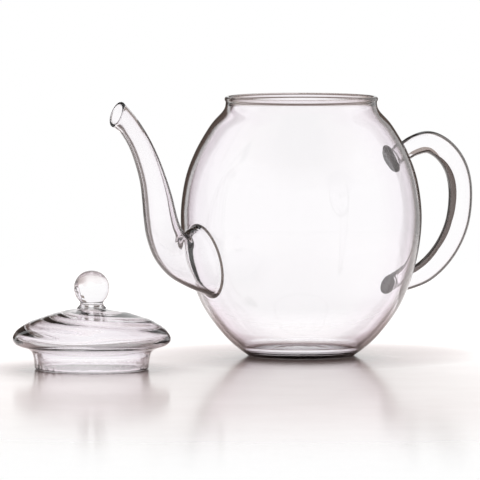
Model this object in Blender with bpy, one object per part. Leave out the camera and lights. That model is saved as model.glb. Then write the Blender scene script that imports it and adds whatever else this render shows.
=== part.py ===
"""Blown glass teapot with a long drawn spout, a rod handle and a loose lid.

Metres, +Z up. The origin is the centre of the pot's flat base, on the table. The spout
points along -X and the handle along +X. The lid stands on the table beside the pot and
slides straight up from there.
"""

import math

import bmesh
import bpy
from mathutils import Vector

# Driving dimensions.
GAP = 0.0003                  # clearance between pieces that touch
BODY_WALL = 0.0020
BASE_THICKNESS = 0.0026
FLOOR_CORNER = 0.0022         # how far the floor's edge lies inside the wall's foot
BODY_STEPS = 40
BODY_OUTLINE = (              # radius and height of the blown body, from base edge to neck
    (0.0270, 0.0000), (0.0385, 0.0100), (0.0500, 0.0258), (0.0574, 0.0465),
    (0.0603, 0.0670), (0.0585, 0.0860), (0.0535, 0.1010), (0.0455, 0.1150),
    (0.0390, 0.1225), (0.0378, 0.1262),
)
BODY_STATIONS = 1             # points drawn between two points of the outline

RIM_RADIUS = 0.03835
RIM_INNER_RADIUS = 0.0360
RIM_HEIGHT = 0.0030
RIM_ROUNDING = 0.0008

SPOUT_WALL = 0.0016
SPOUT_SIDES = 20
SPOUT_STATIONS = 1            # sections between two stations of the spout
SPOUT_ROOT_HEIGHT = 0.0490    # where the spout's axis meets the wall
SPOUT_ROOT_HALF_HEIGHT = 0.0165
SPOUT_ROOT_HALF_WIDTH = 0.0142
SPOUT_BORE_HALF_HEIGHT = 0.0144
SPOUT_BORE_HALF_WIDTH = 0.0121
SPOUT_BORE_ENDS = (0.030, 0.080)  # how far out the cutter for the bore begins and ends
SPOUT_SECTIONS = (            # reach, height, half depth, half width, tilt in degrees
    (0.0655, 0.0496, 0.0138, 0.0128, 94.0),
    (0.0715, 0.0523, 0.0113, 0.0112, 71.0),
    (0.0766, 0.0576, 0.0099, 0.0100, 47.0),
    (0.0799, 0.0643, 0.0089, 0.0089, 25.0),
    (0.0818, 0.0720, 0.0082, 0.0082, 11.0),
    (0.0835, 0.0811, 0.0075, 0.0075, 10.0),
    (0.0858, 0.0901, 0.0066, 0.0066, 15.0),
    (0.0893, 0.0998, 0.0060, 0.0060, 22.0),
    (0.0940, 0.1094, 0.0055, 0.0055, 29.0),
    (0.0999, 0.1177, 0.0054, 0.0054, 40.0),
    (0.1062, 0.1233, 0.0069, 0.0060, 69.0),
)
WELD_WIDTH = 0.0018
WELD_HEIGHT = 0.0013

HANDLE_SIDES = 16
HANDLE_STATIONS = 2
HANDLE_PATH = (               # reach, height and radius of the rod, top to bottom
    (0.0590, 0.0987, 0.0050), (0.0660, 0.1028, 0.0055), (0.0755, 0.1044, 0.0058),
    (0.0851, 0.0995, 0.0059), (0.0920, 0.0901, 0.0060), (0.0943, 0.0776, 0.0060),
    (0.0920, 0.0623, 0.0060), (0.0844, 0.0490, 0.0059), (0.0727, 0.0391, 0.0057),
    (0.0582, 0.0341, 0.0052),
)
FOOT_RADIUS = 0.0074
FOOT_WAIST = 0.45             # how far from wall to rod the foot is narrowest
FOOT_PINCH = 0.88             # how much narrower it is there than a straight cone
UPPER_FOOT_HEIGHT = 0.0975    # where each foot's centre sits on the wall
LOWER_FOOT_HEIGHT = 0.0338

LID_REST = (-0.1313, -0.0179, 0.0)
LID_WALL = 0.0018
LID_STEPS = 36
LID_OUTLINE = (               # dome, from the crown over the edge to the top of the skirt
    (0.0078, 0.0290), (0.0180, 0.0272), (0.0278, 0.0240), (0.0358, 0.0197),
    (0.0391, 0.0150), (0.0372, 0.0119), (0.0325, 0.0102), (0.0298, 0.0087),
)
LID_CROWN = 0.0293
SKIRT_RADIUS = 0.0280
SKIRT_TOP_RADIUS = 0.0293
SKIRT_HEIGHT = 0.0084
SKIRT_WAIST = 0.0055          # height up to which the skirt is nearly straight
SKIRT_EDGE = 0.0005           # bevel of the skirt's lower edge
STEM_RADIUS = 0.0059
STEM_FOOT_RADIUS = 0.0074
FOOT_WAIST = 0.45             # how far from wall to rod the foot is narrowest
FOOT_PINCH = 0.88             # how much narrower it is there than a straight cone
STEM_TOP = 0.0328
BALL_RADIUS = 0.00875
BALL_HEIGHT = 0.0394
BALL_STEPS = 24
BALL_RINGS = 12


def clear_scene():
    for item in list(bpy.data.objects):
        bpy.data.objects.remove(item, do_unlink=True)


def glass(name, colour, roughness=0.03):
    """Clear borosilicate glass with a faint tint."""
    material = bpy.data.materials.new(name)
    material.use_nodes = True
    shader = material.node_tree.nodes["Principled BSDF"]
    shader.inputs["Base Color"].default_value = (*colour, 1.0)
    shader.inputs["Roughness"].default_value = roughness
    shader.inputs["Metallic"].default_value = 0.0
    shader.inputs["IOR"].default_value = 1.473
    shader.inputs["Transmission Weight"].default_value = 0.9
    return material


def add_object(name, mesh, colour, parent=None):
    mesh.materials.append(glass(name + "_glass", colour))
    item = bpy.data.objects.new(name, mesh)
    item.parent = parent
    bpy.context.collection.objects.link(item)
    return item


def smooth_through(points, between):
    """Points on a Catmull-Rom curve through the given points, of any number of values."""
    ends = [points[0], *points, points[-1]]
    curve = []
    for a, b, c, d in zip(ends, ends[1:], ends[2:], ends[3:]):
        for step in range(between + 1):
            t = step / (between + 1)
            curve.append(tuple(
                0.5 * (2 * q + (r - p) * t + (2 * p - 5 * q + 4 * r - s) * t * t
                       + (3 * q - p - 3 * r + s) * t ** 3)
                for p, q, r, s in zip(a, b, c, d)))
    curve.append(tuple(points[-1]))
    return curve


def offset_inwards(outline, distance):
    """The outline moved to the left of its own direction by a distance."""
    moved = []
    for i, (radius, height) in enumerate(outline):
        before, after = outline[max(i - 1, 0)], outline[min(i + 1, len(outline) - 1)]
        along = Vector((after[0] - before[0], after[1] - before[1])).normalized()
        moved.append((radius - along.y * distance, height + along.x * distance))
    return moved


BODY_CURVE = smooth_through(BODY_OUTLINE, BODY_STATIONS)


def body_radius(height):
    """Outer radius of the body at a height."""
    for (r0, z0), (r1, z1) in zip(BODY_CURVE, BODY_CURVE[1:]):
        if z0 <= height <= z1:
            return r0 + (r1 - r0) * (height - z0) / (z1 - z0)
    raise ValueError("height is off the body")


def on_wall(height, across, side, gap=GAP):
    """The point on the body's outer wall at a height and a distance across, on one side."""
    radius = body_radius(height) + gap
    return Vector((side * math.sqrt(radius ** 2 - across ** 2), across, height))


def turned(name, profile, steps, colour, closed=False, parent=None):
    """A turned solid. The profile runs down its outer side, top to bottom."""
    mesh = bpy.data.meshes.new(name)
    edges = [(i, i + 1) for i in range(len(profile) - 1)]
    if closed:
        edges.append((len(profile) - 1, 0))
    mesh.from_pydata([(radius, 0.0, height) for radius, height in profile], edges, [])
    item = add_object(name, mesh, colour, parent)
    screw = item.modifiers.new("turn", "SCREW")
    screw.steps = steps
    screw.render_steps = steps
    screw.use_merge_vertices = True
    screw.merge_threshold = 0.00001
    screw.use_smooth_shade = True
    return item


def lofted(name, rings, colour, start=None, end=None, closed=False):
    """A skin over rings of points, each end closed by a fan to its own centre point."""
    bm = bmesh.new()
    loops = [[bm.verts.new(point) for point in ring] for ring in rings]
    pairs = list(zip(loops, loops[1:]))
    if closed:
        pairs.append((loops[-1], loops[0]))
    for lower, upper in pairs:
        for i in range(len(lower)):
            j = (i + 1) % len(lower)
            bm.faces.new((lower[i], lower[j], upper[j], upper[i]))
    for loop, centre in ((loops[0], start), (loops[-1], end)):
        if centre is not None:
            hub = bm.verts.new(centre)
            for i in range(len(loop)):
                bm.faces.new((loop[i], hub, loop[(i + 1) % len(loop)]))
    bmesh.ops.recalc_face_normals(bm, faces=bm.faces)
    mesh = bpy.data.meshes.new(name)
    bm.to_mesh(mesh)
    bm.free()
    mesh.shade_smooth()
    mesh.set_sharp_from_angle(angle=math.radians(40))
    return add_object(name, mesh, colour)


def turn_angles(sides):
    return [2 * math.pi * i / sides for i in range(sides)]


def body_profile():
    """The closed half section of the blown body, from the inner floor to the base."""
    outer = BODY_CURVE
    inner = offset_inwards(outer, BODY_WALL)
    inner = [point for point in inner if point[1] > 1.3 * BASE_THICKNESS]
    inner[-1] = (inner[-1][0], outer[-1][1])
    floor_edge = (inner[0][0] - FLOOR_CORNER, BASE_THICKNESS)
    return [(0.0, BASE_THICKNESS), floor_edge, *inner, *reversed(outer), (0.0, 0.0)]


def make_body():
    """The pot itself, one blown bubble with a flat base, opened where the spout joins."""
    body = turned("body", body_profile(), BODY_STEPS, (0.95, 0.93, 0.97))
    bore = [[(-reach, SPOUT_BORE_HALF_WIDTH * math.cos(turn),
              SPOUT_ROOT_HEIGHT + SPOUT_BORE_HALF_HEIGHT * math.sin(turn))
             for turn in turn_angles(SPOUT_SIDES)] for reach in SPOUT_BORE_ENDS]
    near, far = [(-reach, 0.0, SPOUT_ROOT_HEIGHT) for reach in SPOUT_BORE_ENDS]
    cutter = lofted("spout_bore_cutter", bore, (1.0, 1.0, 1.0), near, far)
    cutter.hide_render = True
    cutter.display_type = "WIRE"
    cut = body.modifiers.new("spout_bore", "BOOLEAN")
    cut.operation = "DIFFERENCE"
    cut.object = cutter


def make_rim():
    """The thick fire-polished ring round the mouth."""
    low = BODY_OUTLINE[-1][1] + GAP
    high = low + RIM_HEIGHT
    corner = RIM_ROUNDING
    profile = [
        (RIM_INNER_RADIUS + corner, high), (RIM_RADIUS - corner, high),
        (RIM_RADIUS, high - corner), (RIM_RADIUS, low + corner),
        (RIM_RADIUS - corner, low), (RIM_INNER_RADIUS + corner, low),
        (RIM_INNER_RADIUS, low + corner), (RIM_INNER_RADIUS, high - corner),
    ]
    turned("rim", profile, BODY_STEPS, (0.93, 0.92, 0.95), closed=True)


def spout_ring(section, thinner=0.0):
    """One oval section of the spout, less a thickness all round."""
    reach, height, half_depth, half_width, tilt = section
    up = Vector((math.cos(math.radians(tilt)), 0.0, math.sin(math.radians(tilt))))
    centre = Vector((-reach, 0.0, height))
    return [centre + up * (half_depth - thinner) * math.sin(turn)
            + Vector((0.0, (half_width - thinner) * math.cos(turn), 0.0))
            for turn in turn_angles(SPOUT_SIDES)]


def root_ring(wider, gap=GAP):
    """The oval where the spout meets the wall, widened by a distance."""
    half_height = SPOUT_ROOT_HALF_HEIGHT + wider
    half_width = SPOUT_ROOT_HALF_WIDTH + wider
    return [on_wall(SPOUT_ROOT_HEIGHT + half_height * math.sin(turn),
                    half_width * math.cos(turn), -1, gap)
            for turn in turn_angles(SPOUT_SIDES)]


def make_spout():
    """The drawn tube, flared at its root and cut slantwise at its lip."""
    sections = smooth_through(SPOUT_SECTIONS, SPOUT_STATIONS)
    outer = [root_ring(0.0)] + [spout_ring(section) for section in sections]
    inner = [root_ring(-SPOUT_WALL)] + [spout_ring(section, SPOUT_WALL) for section in sections]
    lofted("spout", outer + list(reversed(inner)), (0.95, 0.94, 0.97), closed=True)


def make_spout_weld():
    """The bead of glass that seals the spout to the wall."""
    clear = GAP + 0.0001
    rings = [
        root_ring(clear), root_ring(WELD_WIDTH), root_ring(0.7 * WELD_WIDTH, 0.7 * WELD_HEIGHT),
        root_ring(clear, WELD_HEIGHT),
    ]
    lofted("spout_weld", rings, (0.90, 0.88, 0.92), closed=True)


def handle_curve():
    return smooth_through(HANDLE_PATH, HANDLE_STATIONS)


def rod_ring(curve, index, shift=0.0):
    """A round section of the handle rod, moved along it by a shift, and its centre."""
    index %= len(curve)
    x, z, radius = curve[index]
    before, after = curve[max(index - 1, 0)], curve[min(index + 1, len(curve) - 1)]
    along = Vector((after[0] - before[0], 0.0, after[1] - before[1])).normalized()
    outward = Vector((-along.z, 0.0, along.x))
    centre = Vector((x, 0.0, z)) + along * shift
    ring = [centre + outward * radius * math.sin(turn)
            + Vector((0.0, radius * math.cos(turn), 0.0))
            for turn in turn_angles(HANDLE_SIDES)]
    return ring, centre


def make_handle():
    """The bent solid rod."""
    curve = handle_curve()
    rings = [rod_ring(curve, index)[0] for index in range(len(curve))]
    lofted("handle", rings, (0.96, 0.95, 0.97),
           rod_ring(curve, 0)[1], rod_ring(curve, -1)[1])


def make_handle_foot(name, index, height, shift, lean):
    """A gather of glass pressed on the wall, which the rod's end is welded to.

    index and shift name the rod's end and the gap to it; lean is 1 where the rod leaves
    the wall and -1 where it comes back, so that both ends of the foot turn the same way.
    """
    curve = handle_curve()
    end_ring, centre = rod_ring(curve, index, shift)
    wall_rings = []
    for radius in (0.5 * FOOT_RADIUS, FOOT_RADIUS):
        wall_rings.append([on_wall(height + lean * radius * math.sin(turn),
                                   radius * math.cos(turn), 1)
                           for turn in turn_angles(HANDLE_SIDES)])
    waist = [a.lerp(b, FOOT_WAIST) for a, b in zip(wall_rings[-1], end_ring)]
    middle = sum(waist, Vector()) / len(waist)
    waist = [middle + (point - middle) * FOOT_PINCH for point in waist]
    lofted(name, [*wall_rings, waist, end_ring], (0.88, 0.86, 0.88),
           on_wall(height, 0.0, 1), centre)


def lid_profile():
    """The closed half section of the blown dome, open below."""
    outer = smooth_through(LID_OUTLINE, 1)
    inner = offset_inwards(outer, -LID_WALL)
    return [(0.0, LID_CROWN), *outer, *reversed(inner), (0.0, LID_CROWN - LID_WALL)]


def make_lid(parent):
    """Dome, skirt and knob of the lid, each a piece of its own."""
    turned("lid_dome", lid_profile(), LID_STEPS, (0.95, 0.93, 0.96), parent=parent)
    outer, inner = SKIRT_RADIUS, SKIRT_RADIUS - LID_WALL
    turned("lid_skirt", [
        (SKIRT_TOP_RADIUS - LID_WALL, SKIRT_HEIGHT), (SKIRT_TOP_RADIUS, SKIRT_HEIGHT),
        (outer + SKIRT_EDGE, SKIRT_WAIST), (outer, SKIRT_EDGE), (outer - SKIRT_EDGE, 0.0),
        (inner + SKIRT_EDGE, 0.0), (inner, SKIRT_EDGE), (inner + SKIRT_EDGE, SKIRT_WAIST),
    ], LID_STEPS, (0.92, 0.90, 0.93), closed=True, parent=parent)
    foot = LID_CROWN + GAP
    turned("lid_knob_stem", [
        (0.0, STEM_TOP), (STEM_RADIUS, STEM_TOP), (STEM_RADIUS, 0.5 * (STEM_TOP + foot)),
        (STEM_FOOT_RADIUS, foot), (0.0, foot),
    ], BALL_STEPS, (0.93, 0.92, 0.95), parent=parent)
    flat = STEM_TOP + GAP
    lowest = math.asin((flat - BALL_HEIGHT) / BALL_RADIUS)
    arc = [0.5 * math.pi + (lowest - 0.5 * math.pi) * i / BALL_RINGS
           for i in range(1, BALL_RINGS + 1)]
    ball = [(BALL_RADIUS * math.cos(turn), BALL_HEIGHT + BALL_RADIUS * math.sin(turn))
            for turn in arc]
    turned("lid_knob_ball", [(0.0, BALL_HEIGHT + BALL_RADIUS), *ball, (0.0, flat)],
           BALL_STEPS, (0.96, 0.95, 0.97), parent=parent)


clear_scene()
make_body()
make_rim()
make_spout()
make_spout_weld()
make_handle()
make_handle_foot("handle_upper_foot", 0, UPPER_FOOT_HEIGHT, -GAP, 1)
make_handle_foot("handle_lower_foot", -1, LOWER_FOOT_HEIGHT, GAP, -1)
lid = bpy.data.objects.new("lid", None)
lid.location = LID_REST
bpy.context.collection.objects.link(lid)
make_lid(lid)
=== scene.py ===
# A hand-made glass teapot: a blown pot with a drawn spout, a bent rod handle and a loose lid that
# stands on the table beside it. The pieces are built in the order a glassworker makes them: the
# blown pot with its spout, the handle, the lid with its knob. The table and the light come last.
import math
import random

import bmesh
import bpy
from mathutils import Matrix, Vector


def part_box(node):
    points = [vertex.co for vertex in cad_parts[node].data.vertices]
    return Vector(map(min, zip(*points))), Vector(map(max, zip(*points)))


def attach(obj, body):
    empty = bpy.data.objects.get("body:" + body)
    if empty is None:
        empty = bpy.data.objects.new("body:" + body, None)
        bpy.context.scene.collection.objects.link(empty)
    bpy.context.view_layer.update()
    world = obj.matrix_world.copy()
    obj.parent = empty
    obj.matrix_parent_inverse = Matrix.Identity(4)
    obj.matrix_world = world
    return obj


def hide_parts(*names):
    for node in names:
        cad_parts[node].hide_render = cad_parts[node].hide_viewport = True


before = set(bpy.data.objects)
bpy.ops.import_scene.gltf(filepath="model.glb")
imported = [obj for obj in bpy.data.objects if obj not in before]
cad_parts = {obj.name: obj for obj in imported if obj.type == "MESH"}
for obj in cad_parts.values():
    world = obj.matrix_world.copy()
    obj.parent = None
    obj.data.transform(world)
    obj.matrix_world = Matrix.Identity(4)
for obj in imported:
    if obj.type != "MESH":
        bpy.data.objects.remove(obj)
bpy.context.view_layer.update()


# The pot: one bubble of borosilicate glass, blown to a wall of 2 mm, flattened to stand, its mouth
# cut and melted back into a thick ring. The spout is a tube of the same glass, drawn thin, bent in
# the flame and sealed round an oval hole in the wall, so pot and spout are one skin inside and out.
POT_WALL = 0.0020
POT_COLUMNS = 192
POT_OUTLINE = (                # radius and height, from the foot's edge to the neck
    (0.0270, 0.0000), (0.0385, 0.0100), (0.0500, 0.0258), (0.0574, 0.0465),
    (0.0603, 0.0670), (0.0585, 0.0860), (0.0535, 0.1010), (0.0455, 0.1150),
    (0.0390, 0.1225), (0.0378, 0.1262),
)
FOOT_RADIUS, FOOT_EDGE = 0.0262, 0.0012   # the edge the pot stands on, and its rounding
PUSH_UP = 0.0011               # how far the base is pushed up at its centre
BASE_SHARES = ((0.010, 0.85), (0.017, 0.45), (0.0215, 0.12), (0.0245, 0.0))   # radius, share of the push
INNER_KNEE = 0.0042            # height at which the inner wall turns into the floor
KNEE_STEPS = ((0.0012, 0.0034), (0.0030, 0.0027))   # how far in from the knee, and height
FLOOR = ((0.0230, 0.0025), (0.0170, 0.0027), (0.010, 0.0032))   # radius and height, on to the centre
FLOOR_CENTRE = 0.0034          # height of the floor inside, at its centre
MOUTH_RADIUS = 0.0360
MOUTH_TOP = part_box("rim")[1][2]
RING_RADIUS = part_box("rim")[1][0]
RING_TURN = (-50, 230)         # the ring's section, in degrees from the outer wall over to the inner
RING_STRETCH = 0.0003          # how much taller than round the ring is
WALL_SHORT = 0.0008            # how far under the neck the inner wall ends
RING_FROM = POT_OUTLINE[-1][1] - 0.0006   # above this height all glass is the ring's
ROOT_HEIGHT = 0.0490           # where the spout's axis meets the wall
BLOCK_HALF_HEIGHTS = (0.0255, 0.0245)   # the patch of wall the spout grows from, outside and inside
BLOCK_HALF_COLUMNS = 13
SPOUT_WALL = 0.0013
LIP_THICKER = 1.35             # how much thicker the wall gets where the lip is melted
SPOUT_STATIONS = (             # reach, height, half depth, half width, tilt in degrees
    (0.0655, 0.0496, 0.0138, 0.0128, 94.0),
    (0.0715, 0.0523, 0.0113, 0.0112, 71.0),
    (0.0766, 0.0576, 0.0099, 0.0100, 47.0),
    (0.0799, 0.0643, 0.0089, 0.0089, 25.0),
    (0.0818, 0.0720, 0.0082, 0.0082, 11.0),
    (0.0835, 0.0811, 0.0075, 0.0075, 10.0),
    (0.0858, 0.0901, 0.0066, 0.0066, 15.0),
    (0.0893, 0.0998, 0.0060, 0.0060, 22.0),
    (0.0940, 0.1094, 0.0055, 0.0055, 29.0),
    (0.0999, 0.1177, 0.0054, 0.0054, 40.0),
    (0.1060, 0.1231, 0.0067, 0.0059, 69.0),
)
OUTER_ROOT = (                 # the weld, outside: half height, half width, height off the wall
    (0.0205, 0.0183, 0.0), (0.0189, 0.0167, 0.0), (0.0183, 0.0161, 0.0001),
    (0.0178, 0.0156, 0.0006), (0.0172, 0.0150, 0.0016), (0.0162, 0.0143, 0.0034),
)
INNER_ROOT = (                 # the weld, inside: the hole's edge rolls out into the bore
    (0.0186, 0.0164, 0.0), (0.0174, 0.0152, 0.0), (0.0166, 0.0144, 0.0002),
    (0.0162, 0.0140, 0.0009), (0.0157, 0.0135, 0.0020), (0.0149, 0.0130, 0.0040),
)


def smooth_through(points, between):
    """Points on a Catmull-Rom curve through the given points, of any number of values."""
    ends = [points[0], *points, points[-1]]
    curve = []
    for a, b, c, d in zip(ends, ends[1:], ends[2:], ends[3:]):
        for step in range(between + 1):
            t = step / (between + 1)
            curve.append(tuple(
                0.5 * (2 * q + (r - p) * t + (2 * p - 5 * q + 4 * r - s) * t * t
                       + (3 * q - p - 3 * r + s) * t ** 3)
                for p, q, r, s in zip(a, b, c, d)))
    curve.append(tuple(points[-1]))
    return curve


def arc(centre, radius, start, end, steps):
    """Points on an arc of an outline, between two angles in degrees, both ends included."""
    turns = [math.radians(start + (end - start) * i / steps) for i in range(steps + 1)]
    return [(centre[0] + radius * math.cos(t), centre[1] + radius * math.sin(t)) for t in turns]


def inside_of(outline, wall):
    """The outline moved to its left by the wall's thickness."""
    moved = []
    for i, (radius, height) in enumerate(outline):
        before, after = outline[max(i - 1, 0)], outline[min(i + 1, len(outline) - 1)]
        along = Vector((after[0] - before[0], after[1] - before[1])).normalized()
        moved.append((radius - along.y * wall, height + along.x * wall))
    return moved


def radius_at(outline, height):
    """The radius of an outline that rises all the way, at a height."""
    for (r0, z0), (r1, z1) in zip(outline, outline[1:]):
        if z0 <= height <= z1:
            return r0 + (r1 - r0) * (height - z0) / (z1 - z0)
    return outline[0][0] if height < outline[0][1] else outline[-1][0]


def bridge(bm, lower, upper, skip=(), zone=0):
    """A band of faces between two rings of as many points, in one of the piece's materials."""
    for i in range(len(lower)):
        if i not in skip:
            j = (i + 1) % len(lower)
            bm.faces.new((lower[i], lower[j], upper[j], upper[i])).material_index = zone


def fan(bm, ring, centre, zone=0):
    """A ring closed by a fan to its centre, in one of the piece's materials."""
    hub = bm.verts.new(centre)
    for i in range(len(ring)):
        bm.faces.new((ring[i], hub, ring[(i + 1) % len(ring)])).material_index = zone


def turned_rings(bm, profile, columns):
    """A ring of points for each point of a profile that is off the axis."""
    rings = []
    for radius, height in profile:
        rings.append([bm.verts.new((radius * math.cos(2 * math.pi * i / columns),
                                    radius * math.sin(2 * math.pi * i / columns), height))
                      for i in range(columns)])
    return rings


def glass_object(name, bm, body):
    """A finished mesh as a smooth piece that rides on a body of the frame."""
    bmesh.ops.recalc_face_normals(bm, faces=bm.faces)
    mesh = bpy.data.meshes.new(name)
    bm.to_mesh(mesh)
    bm.free()
    mesh.shade_smooth()
    piece = bpy.data.objects.new(name, mesh)
    bpy.context.collection.objects.link(piece)
    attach(piece, body)
    return piece


pot_dense = smooth_through(POT_OUTLINE, 30)
pot_dense_inside = inside_of(pot_dense, POT_WALL)


def on_pot_wall(outline, height, across, side, off=0.0):
    """A point on the pot's wall at a height and a distance across, on the spout's or handle's side."""
    radius = radius_at(outline, height)
    turn = across / radius
    return Vector((side * (radius + off) * math.cos(turn), (radius + off) * math.sin(turn), height))


def pot_profile():
    """The pot's section from the centre of its base, up the outside, and down the inside."""
    outer = [p for p in smooth_through(POT_OUTLINE, 6) if p[1] > 1.4 * FOOT_EDGE]
    base = [(radius, PUSH_UP * share) for radius, share in BASE_SHARES]
    foot = arc((FOOT_RADIUS, FOOT_EDGE), FOOT_EDGE, 270, 315, 3)
    ring_middle = 0.5 * (MOUTH_TOP + POT_OUTLINE[-1][1])
    half = 0.5 * (RING_RADIUS - MOUTH_RADIUS)
    bead = arc((MOUTH_RADIUS + half, MOUTH_TOP - half - RING_STRETCH), half, *RING_TURN, 16)
    bead = [(r, z + (RING_STRETCH if z > ring_middle else 0.0)) for r, z in bead]
    inner = [p for p in inside_of(smooth_through(POT_OUTLINE, 6), POT_WALL)
             if INNER_KNEE < p[1] < POT_OUTLINE[-1][1] - WALL_SHORT]
    knee = [(inner[0][0] - step, height) for step, height in KNEE_STEPS]
    return base + foot + outer + bead + inner[::-1] + knee + [*FLOOR], len(base + foot), len(outer)


def hole_block(rings, rows, columns, centre):
    """The edge of a block of faces left open in a turned skin, once round, from its low corner."""
    count = len(rings[0])
    left, right = centre - columns, centre + columns
    loop = [rings[rows[0]][i % count] for i in range(left, right)]
    loop += [rings[j][right % count] for j in rows[:-1]]
    loop += [rings[rows[-1]][i % count] for i in range(right, left, -1)]
    loop += [rings[j][left % count] for j in rows[:0:-1]]
    return loop


def around_root(vertex, outline):
    """Where a point of the wall lies: its height, its distance across, its turn round the root."""
    across = math.atan2(vertex.co.y, -vertex.co.x) * radius_at(outline, vertex.co.z)
    return vertex.co.z, across, math.atan2(vertex.co.z - ROOT_HEIGHT, across)


BLOWN, DRAWN, BEAD, RIM, BORE = range(5)   # the pot's materials, in the order they are added below
WELD_LINE = (10, 19)           # the bands of the spout's skin that are the bead of the weld
LIP_BANDS = 6                  # the last bands of the spout's skin, next to the lip


def spout_skin(bm, loop, turns, outline, root, thinner):
    """The spout's skin, from the edge of its block to the lip, one spoke for each point."""
    rings = [loop]
    for share in (0.25, 0.5, 0.75):
        ring = []
        for vertex, turn in zip(loop, turns):
            height, across, _ = around_root(vertex, outline)
            goal = (ROOT_HEIGHT + root[0][0] * math.sin(turn), root[0][1] * math.cos(turn))
            ring.append(bm.verts.new(on_pot_wall(outline, height + (goal[0] - height) * share,
                                                 across + (goal[1] - across) * share, -1)))
        rings.append(ring)
    ways = []
    for turn in turns:
        way = [tuple(on_pot_wall(outline, ROOT_HEIGHT + half_height * math.sin(turn),
                                 half_width * math.cos(turn), -1, off))
               for half_height, half_width, off in root]
        for reach, height, depth, width, tilt in SPOUT_STATIONS:
            up = math.radians(tilt)
            wall = thinner * (LIP_THICKER if reach == SPOUT_STATIONS[-1][0] else 1.0)
            rise = (depth - wall) * math.sin(turn)
            way.append((-reach + rise * math.cos(up), (width - wall) * math.cos(turn),
                        height + rise * math.sin(up)))
        ways.append(smooth_through(way, 4))
    for step in range(len(ways[0])):
        rings.append([bm.verts.new(way[step]) for way in ways])
    for step, (lower, upper) in enumerate(zip(rings, rings[1:])):
        outside = thinner == 0.0
        zone = DRAWN if outside and step < len(rings) - LIP_BANDS else BORE
        if step <= WELD_LINE[1]:
            zone = BEAD if outside and step >= WELD_LINE[0] else BLOWN
        bridge(bm, lower, upper, (), zone)
    return rings[-1]


def melted_lip(bm, outer, inner, steps):
    """The lip's edge, melted round, from the outer skin over to the inner one."""
    tilt = math.radians(SPOUT_STATIONS[-1][4])
    out = Vector((-math.sin(tilt), 0.0, math.cos(tilt)))
    last = outer
    for step in range(1, steps):
        turn = math.pi * step / steps
        ring = []
        for a, b in zip(outer, inner):
            middle, half = 0.5 * (a.co + b.co), 0.5 * (a.co - b.co)
            rounded = half * math.cos(turn) + out * half.length * math.sin(turn)
            ring.append(bm.verts.new(middle + rounded))
        bridge(bm, last, ring, (), BORE)
        last = ring
    bridge(bm, last, inner, (), BORE)


def build_pot():
    """The bubble turned, its wall opened inside and outside, and the spout's two skins grown from it."""
    bm = bmesh.new()
    profile, first_outer, outer_count = pot_profile()
    rings = turned_rings(bm, profile, POT_COLUMNS)
    heights = [height for _, height in profile]
    outer_rows = [j for j in range(first_outer, first_outer + outer_count)
                  if abs(heights[j] - ROOT_HEIGHT) < BLOCK_HALF_HEIGHTS[0]]
    inner_rows = [j for j in range(len(profile) - 1, first_outer + outer_count, -1)
                  if heights[j] > ROOT_HEIGHT - BLOCK_HALF_HEIGHTS[1]][:len(outer_rows)]
    centre, half = POT_COLUMNS // 2, BLOCK_HALF_COLUMNS
    block = {i % POT_COLUMNS for i in range(centre - half, centre + half)}
    cut = set(outer_rows[:-1]) | set(inner_rows[1:])
    for j in range(len(rings) - 1):
        mouth = min(heights[j], heights[j + 1]) > RING_FROM
        bridge(bm, rings[j], rings[j + 1], block if j in cut else (), RIM if mouth else BLOWN)
    fan(bm, rings[0], (0.0, 0.0, PUSH_UP))
    fan(bm, rings[-1], (0.0, 0.0, FLOOR_CENTRE))
    outer_loop = hole_block(rings, outer_rows, half, centre)
    inner_loop = hole_block(rings, inner_rows, half, centre)
    turns = [around_root(vertex, pot_dense)[2] for vertex in outer_loop]
    outer_lip = spout_skin(bm, outer_loop, turns, pot_dense, OUTER_ROOT, 0.0)
    inner_lip = spout_skin(bm, inner_loop, turns, pot_dense_inside, INNER_ROOT, SPOUT_WALL)
    melted_lip(bm, outer_lip, inner_lip, 8)
    return glass_object("blown_pot_and_spout", bm, "pot")


pot = build_pot()
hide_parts("body", "rim", "spout", "spout_weld")


# Borosilicate glass, blown and flame-worked: IOR 1.473, a polish from the fire with no grain at all.
# To the eye it is clear with a faint lavender cast, with slow waves in it from the blowing and fine drawn
# streaks. Where one looks along the wall its colour is painted dark grey-brown, as painted shade.
def linear(hexadecimal):
    """An sRGB hex colour as linear RGBA."""
    values = [int(hexadecimal[i:i + 2], 16) / 255 for i in (0, 2, 4)]
    return (*[v / 12.92 if v <= 0.04045 else ((v + 0.055) / 1.055) ** 2.4 for v in values], 1.0)


def add(tree, kind, settings=(), **links):
    """A node with its settings, inputs set or linked by name; a linked input is (node, output)."""
    node = tree.nodes.new(kind)
    for name, value in dict(settings).items():
        setattr(node, name, value)
    for name, value in links.items():
        socket = node.inputs[int(name[1:])] if name[0] == "_" else node.inputs[name.replace("_", " ")]
        if isinstance(value, tuple) and isinstance(value[0], bpy.types.Node):
            tree.links.new(value[0].outputs[value[1]], socket)
        else:
            socket.default_value = value
    return node


def ramp(tree, factor, stops, easing="EASE"):
    """A colour ramp over a factor; each stop is a place and a hex colour."""
    node = tree.nodes.new("ShaderNodeValToRGB")
    node.color_ramp.interpolation = easing
    for i, (place, colour) in enumerate(stops):
        stop = node.color_ramp.elements[i] if i < 2 else node.color_ramp.elements.new(place)
        stop.position = place
        stop.color = linear(colour)
    tree.links.new(factor[0].outputs[factor[1]], node.inputs["Fac"])
    return node


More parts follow.
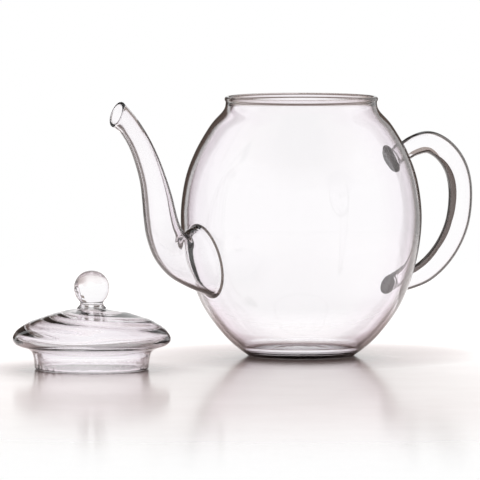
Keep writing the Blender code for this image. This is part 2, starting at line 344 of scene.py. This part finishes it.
def glass_material(name, wave_mm, wave_depth, stretch, cast_and_painted_edge_shade, ior=1.473):
    """Clear glass, painted darker the more one looks along its wall as painted shade, wavy by wave_mm,
    finely streaked.
    """
    material = bpy.data.materials.new(name)
    material.use_nodes = True
    tree = material.node_tree
    tree.nodes.clear()
    place = add(tree, "ShaderNodeTexCoord")
    spread = add(tree, "ShaderNodeMapping", Vector=(place, "Object"), Scale=stretch)
    waves = add(tree, "ShaderNodeTexNoise", Vector=(spread, "Vector"), Scale=1000.0 / wave_mm,
                Detail=1.5, Roughness=0.4)
    streaks = add(tree, "ShaderNodeTexNoise", Vector=(spread, "Vector"), Scale=6000.0 / wave_mm,
                  Detail=2.0, Roughness=0.5)
    bumps = add(tree, "ShaderNodeMix", {"data_type": "FLOAT"}, Factor=0.12,
                _2=(waves, "Fac"), _3=(streaks, "Fac"))
    bump = add(tree, "ShaderNodeBump", Strength=1.0, Distance=wave_depth, Height=(bumps, 0))
    facing = add(tree, "ShaderNodeLayerWeight", Blend=0.5)
    # Painted shade: the base colour runs from the lavender cast through grey-brown to near black towards
    # the outline.
    edge = ramp(tree, (facing, "Facing"), cast_and_painted_edge_shade, "LINEAR")
    film = ramp(tree, (streaks, "Fac"), ((0.40, "000000"), (0.75, "0a0a0a")))
    shader = add(tree, "ShaderNodeBsdfPrincipled", Base_Color=(edge, "Color"),
                 Roughness=(film, "Color"), Normal=(bump, "Normal"))
    shader.inputs["IOR"].default_value = ior
    shader.inputs["Transmission Weight"].default_value = 1.0
    add(tree, "ShaderNodeOutputMaterial", Surface=(shader, "BSDF"))
    return material


# In the order of the pot's zones: the bubble's slow waves and lavender wall, the spout's outside with
# its long draw lines, the knotted bead of the weld, painted near black all over as painted shade, the
# rim that went round in the fire, and the clear bore of the spout. All but the bore are painted darker
# towards their outline.
for made, wave_mm, wave_depth, stretch, cast_and_painted_edge_shade in (
    ("blown", 34.0, 0.00010, (1.0, 1.0, 0.45),
     ((0.0, "fefdfe"), (0.25, "fefdfe"), (0.50, "f9f5f9"), (0.73, "f2e7f0"), (0.79, "7a6c66"),
      (0.85, "14100e"))),
    ("drawn", 22.0, 0.00006, (1.0, 1.0, 0.3),
     ((0.0, "fefdfe"), (0.35, "fcfafc"), (0.46, "f3ecf1"), (0.52, "3a302b"), (0.60, "14100e"))),
    # Painted shade: the weld's bead is coloured near black all over, for the dark line along the seam.
    ("welded", 6.0, 0.00008, (1.0, 1.0, 1.0), ((0.0, "3a302c"), (1.0, "231e1c"))),
    ("melted", 12.0, 0.00006, (1.0, 1.0, 1.0),
     ((0.0, "f6f1f5"), (0.30, "ddd3d4"), (0.50, "94867f"), (0.75, "3d3330"))),
    ("drawn_bore", 22.0, 0.00004, (1.0, 1.0, 0.3), ((0.0, "fefdfe"), (1.0, "f3ecf1"))),
):
    pot.data.materials.append(glass_material(
        "borosilicate_glass_" + made, wave_mm, wave_depth, stretch, cast_and_painted_edge_shade))


# The handle: a solid rod of the same glass, 12 mm thick, bent in the flame and drawn thinner at both
# ends, which are pressed hot against the wall so that they spread into round feet.
HANDLE_PATH = (                # reach, height and radius of the rod, top to bottom
    (0.0590, 0.0987, 0.0046), (0.0660, 0.1028, 0.0052), (0.0755, 0.1044, 0.0057),
    (0.0851, 0.0995, 0.0059), (0.0920, 0.0901, 0.0060), (0.0943, 0.0776, 0.0060),
    (0.0920, 0.0623, 0.0060), (0.0844, 0.0490, 0.0059), (0.0727, 0.0391, 0.0056),
    (0.0582, 0.0341, 0.0048),
)
HANDLE_SIDES = 48
FOOT_SPREADS = ((0.0071, 0.0071), (0.0050, 0.0069))   # half height and half width, upper and lower
FOOT_FACE = (0.3, 0.6, 0.85, 0.96)   # the rings of a foot's flat face, as shares of its spread
FOOT_SIDE = ((0.0003, 1.0), (0.0009, 1.0), (0.0014, 0.95), (0.0020, 0.84))   # height off the wall, share
FOOT_GAP = 0.00004             # what is left between foot and wall
SEAL_IOR = 1.02                # a pressed face has no shine of its own, it touches the wall
LOWER_FOOT_SAG = 0.0009        # how far the lower foot has sunk down the wall
NECK_PLACE = 0.55              # the neck between foot and rod, as a share of the way to the rod
FOOT_PLACES = (
    0.5 * (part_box("handle_upper_foot")[0][2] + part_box("handle_upper_foot")[1][2]),
    0.5 * (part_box("handle_lower_foot")[0][2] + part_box("handle_lower_foot")[1][2]) - LOWER_FOOT_SAG,
)

ROD, SEAL = range(2)           # the rod, and the two faces that lie on the wall


def rod_ring(curve, index):
    """A round section of the rod, square to its path."""
    x, z, radius = curve[index]
    before, after = curve[max(index - 1, 0)], curve[min(index + 1, len(curve) - 1)]
    along = Vector((after[0] - before[0], 0.0, after[1] - before[1])).normalized()
    outward = Vector((-along.z, 0.0, along.x))
    sideways = Vector((0.0, 1.0, 0.0))
    turns = [2 * math.pi * i / HANDLE_SIDES for i in range(HANDLE_SIDES)]
    return [Vector((x, 0.0, z)) + radius * (outward * math.sin(turn) + sideways * math.cos(turn))
            for turn in turns]


def foot_rings(height, rod_end, lean, spread):
    """The rings of a foot, from the centre of its face on the wall out and up to the rod's end."""
    rings = []
    turns = [2 * math.pi * i / HANDLE_SIDES for i in range(HANDLE_SIDES)]
    for off, share in [(FOOT_GAP, share) for share in FOOT_FACE] + list(FOOT_SIDE):
        rings.append([on_pot_wall(pot_dense, height + lean * spread[0] * share * math.sin(turn),
                                  spread[1] * share * math.cos(turn), 1, off) for turn in turns])
    rings.append([a.lerp(b, NECK_PLACE) for a, b in zip(rings[-1], rod_end)])
    return rings


def build_handle():
    """The rod with its two feet, closed by the faces that are pressed on the wall."""
    bm = bmesh.new()
    curve = smooth_through(HANDLE_PATH, 11)
    upper = foot_rings(FOOT_PLACES[0], rod_ring(curve, 0), 1, FOOT_SPREADS[0])
    lower = foot_rings(FOOT_PLACES[1], rod_ring(curve, len(curve) - 1), -1, FOOT_SPREADS[1])
    rows = upper + [rod_ring(curve, i) for i in range(len(curve))] + lower[::-1]
    rings = [[bm.verts.new(point) for point in row] for row in rows]
    last_face = len(FOOT_FACE) - 1
    for i, (first, second) in enumerate(zip(rings, rings[1:])):
        on_wall = i < last_face or i >= len(rings) - 1 - last_face
        bridge(bm, first, second, (), SEAL if on_wall else ROD)
    fan(bm, rings[0], on_pot_wall(pot_dense, FOOT_PLACES[0], 0.0, 1, FOOT_GAP), SEAL)
    fan(bm, rings[-1], on_pot_wall(pot_dense, FOOT_PLACES[1], 0.0, 1, FOOT_GAP), SEAL)
    return glass_object("bent_rod_handle", bm, "pot")


handle = build_handle()
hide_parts("handle", "handle_upper_foot", "handle_lower_foot")
# Solid glass: clear through its middle, with a hard dark line along each side that is partly the dark
# cards bent through it and partly painted shade towards its outline. The pressed faces are painted nearly
# black, as painted shade, because no light comes in between foot and wall.
handle.data.materials.append(glass_material(
    "borosilicate_glass_rod", 26.0, 0.00006, (1.0, 1.0, 0.6),
    ((0.0, "fefdfe"), (0.26, "fdfbfd"), (0.36, "f2ecef"), (0.43, "3a302b"), (0.50, "14100e"))))
handle.data.materials.append(glass_material(
    "borosilicate_glass_pressed_foot_painted_dark", 5.0, 0.00006, (1.0, 1.0, 1.0),
    ((0.0, "030202"), (1.0, "020202")), SEAL_IOR))


# The lid: a shallow blown dome, folded under at its edge and drawn down into a short skirt that
# drops into the mouth. The dome was spun while soft, which leaves spiral streaks of thicker glass.
LID_COLUMNS = 180
LID_LOW, LID_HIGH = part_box("lid_dome")
LID_CENTRE = Vector((0.5 * (LID_LOW[0] + LID_HIGH[0]), 0.5 * (LID_LOW[1] + LID_HIGH[1]), 0.0))
LID_DOME = (                   # radius and height, from the crown over the edge down to the skirt
    (0.0078, 0.0290), (0.0180, 0.0272), (0.0278, 0.0240), (0.0358, 0.0197),
    (0.0389, 0.0150), (0.0372, 0.0119), (0.0325, 0.0102), (0.0297, 0.0085),
    (0.0286, 0.0055), (0.0281, 0.0016),
)
LID_INNER_DOME = (             # the same inside, from the skirt up into the fold and to the crown
    (0.0262, 0.0016), (0.0267, 0.0058), (0.0278, 0.0094), (0.0316, 0.0121), (0.0352, 0.0133),
    (0.0370, 0.0152), (0.0347, 0.0181), (0.0272, 0.0223), (0.0176, 0.0253), (0.0076, 0.0271),
)
SKIRT_EDGE = (0.02715, 0.00095)   # middle and half thickness of the skirt's lower edge
CUT_EDGE = 0.0030              # up to this height the skirt still shows how it was cut off
CROWN = (0.0030, 0.0293, 0.0274)   # radius of the innermost ring, its height outside and inside
CROWN_CENTRE = (0.02935, 0.0275)   # height of the centre, outside and inside
STREAK_TURNS = 1.35            # how far a streak winds from crown to edge
STREAK_DEPTH = 0.00050
OUTSIDE_SHARE = 0.6            # the outside has shallower streaks than the inside
STREAKS_FROM = 0.0125          # below this height the fold is even
STREAKS_CLEAR = 0.004          # inside this radius the crown is even
STREAK_FADES = (0.003, 0.006)  # over what height and what radius the streaks grow from there


def streak(radius, turn, seed):
    """How much thicker the dome is at a place: a few soft ridges that wind outwards."""
    wound = turn - 2 * math.pi * STREAK_TURNS * radius / LID_DOME[4][0]
    draw = random.Random(seed)
    total = 0.0
    for ridges in (1, 2, 3, 5):
        total += math.sin(ridges * wound + draw.uniform(0, 6.3)) / ridges ** 0.5
    return total / 2.2


def build_lid():
    """The lid turned from crown to skirt and back up inside, its dome then thickened in streaks."""
    bm = bmesh.new()
    outer = smooth_through(LID_DOME, 5)
    lower = arc(SKIRT_EDGE, SKIRT_EDGE[1], 0, -180, 10)
    inner = smooth_through(LID_INNER_DOME, 5)
    profile = [CROWN[:2], *outer, *lower, *inner, (CROWN[0], CROWN[2])]
    rings = turned_rings(bm, profile, LID_COLUMNS)
    for j, (ring, (radius, height)) in enumerate(zip(rings, profile)):
        inside = j > len(outer) + len(lower)
        if height < STREAKS_FROM or radius < STREAKS_CLEAR:
            continue
        fade = (min(1.0, (height - STREAKS_FROM) / STREAK_FADES[0])
                * min(1.0, (radius - STREAKS_CLEAR) / STREAK_FADES[1]))
        for i, vertex in enumerate(ring):
            turn = 2 * math.pi * i / LID_COLUMNS
            lift = STREAK_DEPTH * fade * streak(radius, turn, 7 if inside else 3)
            vertex.co.z += lift * (1.0 if inside else OUTSIDE_SHARE)
    for j, (first, second) in enumerate(zip(rings, rings[1:])):
        bridge(bm, first, second, (), int(max(profile[j][1], profile[j + 1][1]) < CUT_EDGE))
    fan(bm, rings[0], (0.0, 0.0, CROWN_CENTRE[0]))
    fan(bm, rings[-1], (0.0, 0.0, CROWN_CENTRE[1]))
    bmesh.ops.translate(bm, verts=bm.verts, vec=LID_CENTRE)
    return glass_object("blown_lid", bm, "lid")


lid = build_lid()
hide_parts("lid_dome", "lid_skirt")
# Thin glass with short waves: the dome breaks the room into swirls of light and dark, and the cut edge
# of the skirt is ripply. Both are painted greyer towards their outline as painted shade.
lid.data.materials.append(glass_material(
    "borosilicate_glass_spun", 14.0, 0.00006, (1.0, 1.0, 1.0),
    ((0.0, "fefdfe"), (0.30, "fbf8fb"), (0.60, "f6f0f5"), (0.80, "ece3e8"), (0.90, "9c8f8b"),
     (0.96, "4c413d"))))
lid.data.materials.append(glass_material(
    "borosilicate_glass_cut_edge", 3.0, 0.00030, (1.0, 1.0, 1.0),
    ((0.0, "fbf8fb"), (0.40, "efe8ec"), (0.70, "c8bcb8"), (0.95, "5a4d48"))))


# The knob: a solid ball of glass, gathered on a short stem and welded to the dome's crown.
BALL_RADIUS = 0.5 * (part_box("lid_knob_ball")[1][0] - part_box("lid_knob_ball")[0][0])
BALL_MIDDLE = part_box("lid_knob_ball")[1][2] - BALL_RADIUS
BALL_TURN = (86, -44)          # the ball's outline in degrees, from near its top to the stem
KNOB_COLUMNS = 96
KNOB_STEM = (                  # radius and height of the stem, from under the ball to the crown
    (0.00600, 0.03300), (0.00575, 0.03230), (0.00590, 0.03140), (0.00640, 0.03060),
    (0.00700, 0.03000), (0.00730, 0.02965), (0.00715, 0.02945),
)
KNOB_FOOT = ((0.0050, 0.02943), (0.0025, 0.02946))   # the same under the stem, inwards
KNOB_FOOT_CENTRE = 0.02948


def build_knob():
    """Ball and stem in one turned piece, down to a flat foot just inside the crown."""
    bm = bmesh.new()
    ball = arc((0.0, BALL_MIDDLE), BALL_RADIUS, *BALL_TURN, 40)
    rings = turned_rings(bm, [*ball, *smooth_through(KNOB_STEM, 3), *KNOB_FOOT], KNOB_COLUMNS)
    for first, second in zip(rings, rings[1:]):
        bridge(bm, first, second)
    fan(bm, rings[0], (0.0, 0.0, BALL_MIDDLE + BALL_RADIUS))
    fan(bm, rings[-1], (0.0, 0.0, KNOB_FOOT_CENTRE))
    bmesh.ops.translate(bm, verts=bm.verts, vec=LID_CENTRE)
    return glass_object("ball_knob", bm, "lid")


knob = build_knob()
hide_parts("lid_knob_ball", "lid_knob_stem")
# Solid glass: the ball turns the room upside down, and the thin grey line all round is painted shade
# towards its outline.
knob.data.materials.append(glass_material(
    "borosilicate_glass_solid", 20.0, 0.00003, (1.0, 1.0, 1.0),
    ((0.0, "fefdfe"), (0.40, "fcfafc"), (0.60, "efe8ec"), (0.76, "b0a49f"), (0.90, "6a5d59"))))


# The table: a white lacquered board that runs out into the white room before its edge shows. It is
# satin white, with a painted shadow of warm grey where glass stands close to it.
TABLE_RADIUS = 0.75
TABLE_SHARES = (0.15, 0.4, 0.7, 1.0)   # its rings of points, as shares of that
TABLE_DROP = 0.0002            # keeps the board just under the feet of pot and lid
TABLE_FADE = (0.30, 0.675)     # where the board begins and ends to melt into the room
GLASS_FADE = (0.05, 0.26)      # the same for what is seen through glass
PAINTED_SHADOW_REACH = 0.05           # how far the grey round a foot reaches


def table_material():
    """White lacquer with a painted contact shadow near what stands on it, fading out towards the board's
    edge.
    """
    material = bpy.data.materials.new("white_lacquer")
    material.use_nodes = True
    tree = material.node_tree
    tree.nodes.clear()
    place = add(tree, "ShaderNodeTexCoord")
    distance = add(tree, "ShaderNodeVectorMath", {"operation": "LENGTH"}, _0=(place, "Object"))
    fade = add(tree, "ShaderNodeMapRange", {"interpolation_type": "SMOOTHSTEP"},
               Value=(distance, "Value"), From_Min=TABLE_FADE[0], From_Max=TABLE_FADE[1])
    grain = add(tree, "ShaderNodeTexNoise", Vector=(place, "Object"), Scale=30.0, Detail=3.0)
    white = ramp(tree, (grain, "Fac"), ((0.3, "fbfafa"), (0.7, "ffffff")))
    # Painted contact shadow: the board's colour turns warm grey where the occlusion node finds glass close
    # by.
    near = add(tree, "ShaderNodeAmbientOcclusion", {"samples": 12}, Distance=PAINTED_SHADOW_REACH)
    shade = ramp(tree, (near, "AO"), ((0.0, "a89a96"), (0.45, "b0a3a0"), (0.8, "d6cccb"), (1.0, "ffffff")),
                 "LINEAR")
    white_with_painted_shadow = add(tree, "ShaderNodeMix", {"data_type": "RGBA", "blend_type": "MULTIPLY"}, _0=1.0,
              _6=(white, "Color"), _7=(shade, "Color"))
    shader = add(tree, "ShaderNodeBsdfPrincipled", Base_Color=(white_with_painted_shadow, 2), Roughness=0.12)
    shader.inputs["Specular IOR Level"].default_value = 0.12
    short = add(tree, "ShaderNodeMapRange", {"interpolation_type": "SMOOTHSTEP"},
                Value=(distance, "Value"), From_Min=GLASS_FADE[0], From_Max=GLASS_FADE[1])
    seen = add(tree, "ShaderNodeLightPath")
    through = add(tree, "ShaderNodeMath", {"operation": "MULTIPLY"}, _0=(short, "Result"),
                  _1=(seen, "Is Transmission Ray"))
    gone = add(tree, "ShaderNodeMath", {"operation": "MAXIMUM"}, _0=(fade, "Result"), _1=(through, 0))
    clear = add(tree, "ShaderNodeBsdfTransparent")
    mixed = add(tree, "ShaderNodeMixShader", _0=(gone, 0), _1=(shader, "BSDF"), _2=(clear, "BSDF"))
    add(tree, "ShaderNodeOutputMaterial", Surface=(mixed, "Shader"))
    return material


def build_table():
    """A flat round board."""
    bm = bmesh.new()
    rings = turned_rings(bm, [(TABLE_RADIUS * share, 0.0) for share in TABLE_SHARES], 64)
    for first, second in zip(rings, rings[1:]):
        bridge(bm, second, first)
    fan(bm, rings[0], (0.0, 0.0, 0.0))
    for face in bm.faces:
        face.normal_update()
        if face.normal.z < 0:
            face.normal_flip()
    mesh = bpy.data.meshes.new("white_table")
    bm.to_mesh(mesh)
    bm.free()
    mesh.materials.append(table_material())
    table = bpy.data.objects.new("white_table", mesh)
    table.location.z = -TABLE_DROP
    bpy.context.collection.objects.link(table)


build_table()


# The light: a white room all round, with dark screens standing upright in it. Clear glass shows
# only what it bends, and the screens are what draws its edges. Each screen runs between two compass
# angles in degrees. The glass shows the first row where light goes through it, and the second row
# where light comes back off it.
CAMERA_TURN, CAMERA_RISE = math.radians(-31.0), math.radians(3.8)
CAMERA_DISTANCE = 4.2
CAMERA_AIM = (-0.0306, 0.0576)   # to the right of the pot's axis, and height
FRAME_WIDTH = 0.240
SCREENS = ((68, 87), (99, 126), (144, 163), (189, 208), (234, 253), (279, 298), (324, 343))
MIRRORED_SCREENS = ((38, 51), (66, 87), (97, 113))
SCREEN_HEIGHTS = ((0.16, "ffffff"), (0.22, "000000"), (0.88, "000000"), (0.94, "ffffff"))   # down to up
SCREEN_COLOUR = (0.135, 0.104, 0.090, 1.0)
ROOM_COLOUR = (1.0, 1.0, 1.0, 1.0)
ON_TABLE = (0.66, 0.56, 0.54, 1.0)         # the room's light where it falls on the table
UNDER_GLASS = (0.36, 0.31, 0.30, 1.0)      # the same where it first has to pass through glass
SOLID_DEPTH = 3                # how far light has come when it leaves a solid piece of glass
SOFT_BOX_PLACE = (1.1, 0.36)   # the soft light's distance behind the pot, and its height
SOFT_BOX_SIZE, SOFT_BOX_POWER = 0.7, 30.0   # its width, and its power in watts


def screen_row(tree, share, screens):
    """Light and dark round the room: black between the two angles of each screen, white elsewhere."""
    stops = [(0.0, "ffffff")]
    for start, end in screens:
        for angle, shade in ((start - 1, "ffffff"), (start + 1, "000000"),
                             (end - 1, "000000"), (end + 1, "ffffff")):
            stops.append((((angle + 180.0) % 360.0) / 360.0, shade))
    return ramp(tree, (share, 0), sorted(stops), "LINEAR")


def white_room():
    """The world: white with dark screens for the glass, plain white for all that looks straight at it."""
    world = bpy.data.worlds.new("white_room")
    bpy.context.scene.world = world
    world.use_nodes = True
    tree = world.node_tree
    tree.nodes.clear()
    place = add(tree, "ShaderNodeTexCoord")
    parts = add(tree, "ShaderNodeSeparateXYZ", Vector=(place, "Generated"))
    seen = add(tree, "ShaderNodeLightPath")
    turn = add(tree, "ShaderNodeMath", {"operation": "ARCTAN2"}, _0=(parts, "Y"), _1=(parts, "X"))
    share = add(tree, "ShaderNodeMapRange", Value=(turn, 0), From_Min=-math.pi, From_Max=math.pi)
    turned_back = add(tree, "ShaderNodeMath", {"operation": "GREATER_THAN"}, _0=(seen, "Glossy Depth"),
                      _1=0.5)
    screens = add(tree, "ShaderNodeMix", {"data_type": "FLOAT"}, _0=(turned_back, 0),
                  _2=(screen_row(tree, share, SCREENS), "Color"),
                  _3=(screen_row(tree, share, MIRRORED_SCREENS), "Color"))
    rise = add(tree, "ShaderNodeMath", {"operation": "MULTIPLY_ADD"}, _0=(parts, "Z"), _1=0.5, _2=0.5)
    height = ramp(tree, (rise, 0), SCREEN_HEIGHTS, "LINEAR")
    # What has come through one solid piece sees no screens, so that ball and handle stay clear.
    off = add(tree, "ShaderNodeMath", {"operation": "SUBTRACT"}, _0=(seen, "Ray Depth"),
              _1=float(SOLID_DEPTH))
    apart = add(tree, "ShaderNodeMath", {"operation": "ABSOLUTE"}, _0=(off, 0))
    solid = add(tree, "ShaderNodeMath", {"operation": "LESS_THAN"}, _0=(apart, 0), _1=0.5)
    past_screens = add(tree, "ShaderNodeMath", {"operation": "MAXIMUM"}, _0=(screens, 0),
                       _1=(height, "Color"))
    white = add(tree, "ShaderNodeMath", {"operation": "MAXIMUM"}, _0=(past_screens, 0), _1=(solid, 0))
    room = add(tree, "ShaderNodeMix", {"data_type": "RGBA"}, _0=(white, 0), _6=SCREEN_COLOUR,
               _7=ROOM_COLOUR)
    # The table gets an even, slightly warm light that has no screens in it.
    through = add(tree, "ShaderNodeMath", {"operation": "GREATER_THAN"},
                  _0=(seen, "Transmission Depth"), _1=0.5)
    from_table = add(tree, "ShaderNodeMix", {"data_type": "RGBA"}, _0=(through, 0), _6=ON_TABLE,
                     _7=UNDER_GLASS)
    scattered = add(tree, "ShaderNodeMath", {"operation": "GREATER_THAN"}, _0=(seen, "Diffuse Depth"),
                    _1=0.5)
    on_table = add(tree, "ShaderNodeMix", {"data_type": "RGBA"}, _0=(scattered, 0), _6=(room, 2),
                   _7=(from_table, 2))
    direct = add(tree, "ShaderNodeMix", {"data_type": "RGBA"}, _0=(seen, "Is Camera Ray"),
                 _6=(on_table, 2), _7=ROOM_COLOUR)
    light = add(tree, "ShaderNodeBackground", Color=(direct, 2), Strength=1.0)
    add(tree, "ShaderNodeOutputWorld", Surface=(light, "Background"))


def card_material(name, shade, turns):
    """Dark paper that is there only for light the glass has turned so many times, from and to."""
    material = bpy.data.materials.new(name)
    material.use_nodes = True
    tree = material.node_tree
    tree.nodes.clear()
    seen = add(tree, "ShaderNodeLightPath")
    middle = add(tree, "ShaderNodeMath", {"operation": "SUBTRACT"}, _0=(seen, "Ray Depth"),
                 _1=0.5 * (turns[0] + turns[1]))
    apart = add(tree, "ShaderNodeMath", {"operation": "ABSOLUTE"}, _0=(middle, 0))
    shown = add(tree, "ShaderNodeMath", {"operation": "LESS_THAN"}, _0=(apart, 0),
                _1=0.5 * (turns[1] - turns[0]) + 0.25)
    paper = add(tree, "ShaderNodeEmission", Color=linear(shade), Strength=1.0)
    clear = add(tree, "ShaderNodeBsdfTransparent")
    mixed = add(tree, "ShaderNodeMixShader", _0=(shown, 0), _1=(clear, "BSDF"), _2=(paper, "Emission"))
    add(tree, "ShaderNodeOutputMaterial", Surface=(mixed, "Shader"))
    return material


def dark_card(name, shade, turns, rows):
    """A card behind the pot; each row is its left and right end, its height and its depth behind."""
    across = Vector((math.cos(CAMERA_TURN), math.sin(CAMERA_TURN), 0.0))
    away = Vector((-math.sin(CAMERA_TURN), math.cos(CAMERA_TURN), 0.0))
    corners = [across * x + away * depth + Vector((0.0, 0.0, z))
               for left, right, z, depth in rows for x in (left, right)]
    faces = [(2 * i, 2 * i + 1, 2 * i + 3, 2 * i + 2) for i in range(len(rows) - 1)]
    mesh = bpy.data.meshes.new(name)
    mesh.from_pydata(corners, [], faces)
    mesh.materials.append(card_material(name, shade, turns))
    card = bpy.data.objects.new(name, mesh)
    bpy.context.collection.objects.link(card)
    card.visible_camera = False
    card.visible_diffuse = False
    card.visible_glossy = False
    card.visible_shadow = False


def set_camera():
    """The camera looks at the pot and the lid from the spout's side, level with the pot's middle."""
    right = Vector((math.cos(CAMERA_TURN), math.sin(CAMERA_TURN), 0.0))
    back = Vector((math.sin(CAMERA_TURN) * math.cos(CAMERA_RISE),
                   -math.cos(CAMERA_TURN) * math.cos(CAMERA_RISE), math.sin(CAMERA_RISE)))
    target = CAMERA_AIM[0] * right + Vector((0.0, 0.0, CAMERA_AIM[1]))
    data = bpy.data.cameras.new("camera")
    data.angle = 2 * math.atan(0.5 * FRAME_WIDTH / CAMERA_DISTANCE)
    data.clip_end = 40.0
    camera = bpy.data.objects.new("camera", data)
    pose = Matrix((right, back.cross(right), back)).transposed().to_4x4()
    pose.translation = target + CAMERA_DISTANCE * back
    camera.matrix_world = pose
    bpy.context.collection.objects.link(camera)
    bpy.context.scene.camera = camera


def soft_box(name, position, size, power):
    """A round soft light turned towards the pot and seen by the table only."""
    data = bpy.data.lights.new(name, "AREA")
    data.shape = "DISK"
    data.size = size
    data.energy = power
    box = bpy.data.objects.new(name, data)
    box.location = position
    aim = Vector((0.0, 0.0, 0.03)) - position
    box.rotation_euler = aim.to_track_quat("-Z", "Y").to_euler()
    box.visible_camera = False
    box.visible_glossy = False
    box.visible_transmission = False
    bpy.context.collection.objects.link(box)


white_room()
# The cards draw the dark band inside the handle's bend, the wall's right edge, the outlines of the
# handle and of the far rim, and the necks of the two feet where they are seen through the pot. Each
# is there only for light that has passed so many faces of glass.
SOLID, EDGE, STUB = (2, 3), (3, 3), (6, 8)
dark_card("side_card", "5a4d47", SOLID, (
    (0.045, 0.300, 0.002, 0.066), (0.053, 0.300, 0.0225, 0.072), (0.0675, 0.300, 0.029, 0.074),
    (0.080, 0.300, 0.040, 0.078), (0.0885, 0.300, 0.0585, 0.084), (0.0895, 0.300, 0.0776, 0.092),
    (0.0905, 0.300, 0.100, 0.100), (0.0905, 0.300, 0.200, 0.105)))
dark_card("edge_card", "5a4d47", EDGE, (
    (0.0770, 0.0925, 0.070, 0.108), (0.0770, 0.0925, 0.200, 0.108)))
dark_card("handle_top_card", "9c8f88", SOLID, (
    (0.045, 0.300, 0.119, 0.109), (0.045, 0.300, 0.450, 0.109)))
dark_card("rim_top_card", "7d7069", SOLID, (
    (-0.050, 0.045, 0.145, 0.109), (-0.050, 0.045, 0.450, 0.109)))
dark_card("inner_card", "8c7f78", SOLID, (
    (0.000, 0.030, 0.070, 0.110), (0.000, 0.030, 0.085, 0.110), (-0.045, 0.030, 0.086, 0.110),
    (-0.045, 0.030, 0.116, 0.110)))
dark_card("stub_low_card", "5a4d47", STUB, (
    (0.000, 0.120, 0.002, 0.070), (0.000, 0.120, 0.022, 0.070)))
dark_card("stub_middle_card", "5a4d47", STUB, (
    (0.000, 0.120, 0.054, 0.075), (0.000, 0.120, 0.076, 0.075)))
dark_card("stub_top_card", "5a4d47", STUB, (
    (0.030, 0.300, 0.140, 0.107), (0.030, 0.300, 0.450, 0.107)))
set_camera()
behind = Vector((-math.sin(CAMERA_TURN), math.cos(CAMERA_TURN), 0.0)) * SOFT_BOX_PLACE[0]
soft_box("back_box", behind + Vector((0.0, 0.0, SOFT_BOX_PLACE[1])), SOFT_BOX_SIZE, SOFT_BOX_POWER)
scene = bpy.context.scene
scene.view_settings.view_transform = "Standard"
